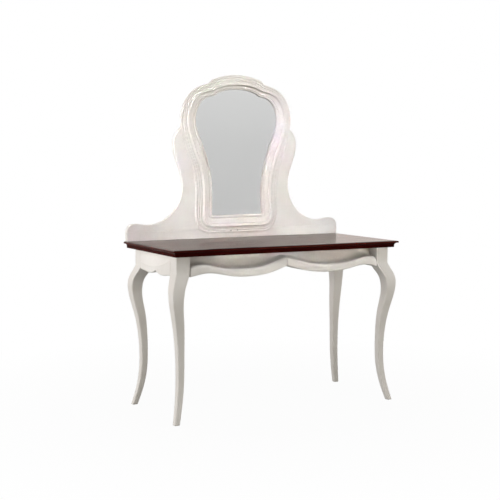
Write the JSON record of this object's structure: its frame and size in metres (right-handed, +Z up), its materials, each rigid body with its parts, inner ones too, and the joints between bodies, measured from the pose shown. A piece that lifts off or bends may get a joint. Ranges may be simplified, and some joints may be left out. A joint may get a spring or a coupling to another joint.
{
  "type": "miniature dressing table",
  "caption": "Dolls' house dressing table with cabriole legs, swagged drawer fronts that pull out, a dark polished top and a fixed shaped mirror in a moulded frame.",
  "frame": {"origin": "on the floor, midway between the outer edges of the table top, at the bottom centre of the bounding box", "axes": "+X to the right as seen from the front, +Y to the back where the mirror stands, +Z up"},
  "size_m": [0.0976, 0.0472, 0.1297],
  "materials": {
    "white_lacquer": "satin paint over close-grained wood",
    "mahogany": "high gloss lacquer over red mahogany",
    "bare_wood": "unpainted sanded wood",
    "mirror_glass": "silvered glass",
    "steel": "plain bright steel"
  },
  "bodies": {
    "carcass": {"table_top": "mahogany", "mirror_glass": "mirror_glass", "leg_front_left": "white_lacquer", "leg_front_right": "white_lacquer", "leg_back_left": "white_lacquer", "leg_back_right": "white_lacquer", "side_apron_left": "white_lacquer", "side_apron_right": "white_lacquer", "back_apron": "white_lacquer", "mirror_plinth": "white_lacquer", "mirror_wing_left": "white_lacquer", "mirror_wing_right": "white_lacquer", "mirror_backing": "white_lacquer", "mirror_frame_crest": "white_lacquer", "mirror_frame_left": "white_lacquer", "mirror_frame_right": "white_lacquer", "mirror_frame_base": "white_lacquer", "front_rail": "bare_wood", "runner_left": "bare_wood", "runner_right": "bare_wood", "runner_centre": "bare_wood", "drawer_divider": "bare_wood", "drawer_guide_left": "bare_wood", "drawer_guide_right": "bare_wood", "corner_blocks": "bare_wood", "drawer_stops": "bare_wood", "leg_dowels": "bare_wood", "plinth_dowels": "bare_wood", "block_screws": "steel", "mirror_frame_brads": "steel", "mirror_frame_pins": "steel"},
    "drawer_left": {"drawer_left_front": "white_lacquer", "drawer_left_side_inner": "bare_wood", "drawer_left_side_outer": "bare_wood", "drawer_left_back": "bare_wood", "drawer_left_bottom": "bare_wood", "drawer_left_brads": "steel"},
    "drawer_right": {"drawer_right_front": "white_lacquer", "drawer_right_side_inner": "bare_wood", "drawer_right_side_outer": "bare_wood", "drawer_right_back": "bare_wood", "drawer_right_bottom": "bare_wood", "drawer_right_brads": "steel"}
  },
  "joints": [
    {"name": "drawer_left_slide", "type": "slide", "parent": "carcass", "child": "drawer_left", "axis": [0, -1, 0], "range_m": [0, 0.022]},
    {"name": "drawer_right_slide", "type": "slide", "parent": "carcass", "child": "drawer_right", "axis": [0, -1, 0], "range_m": [0, 0.022]}
  ]
}
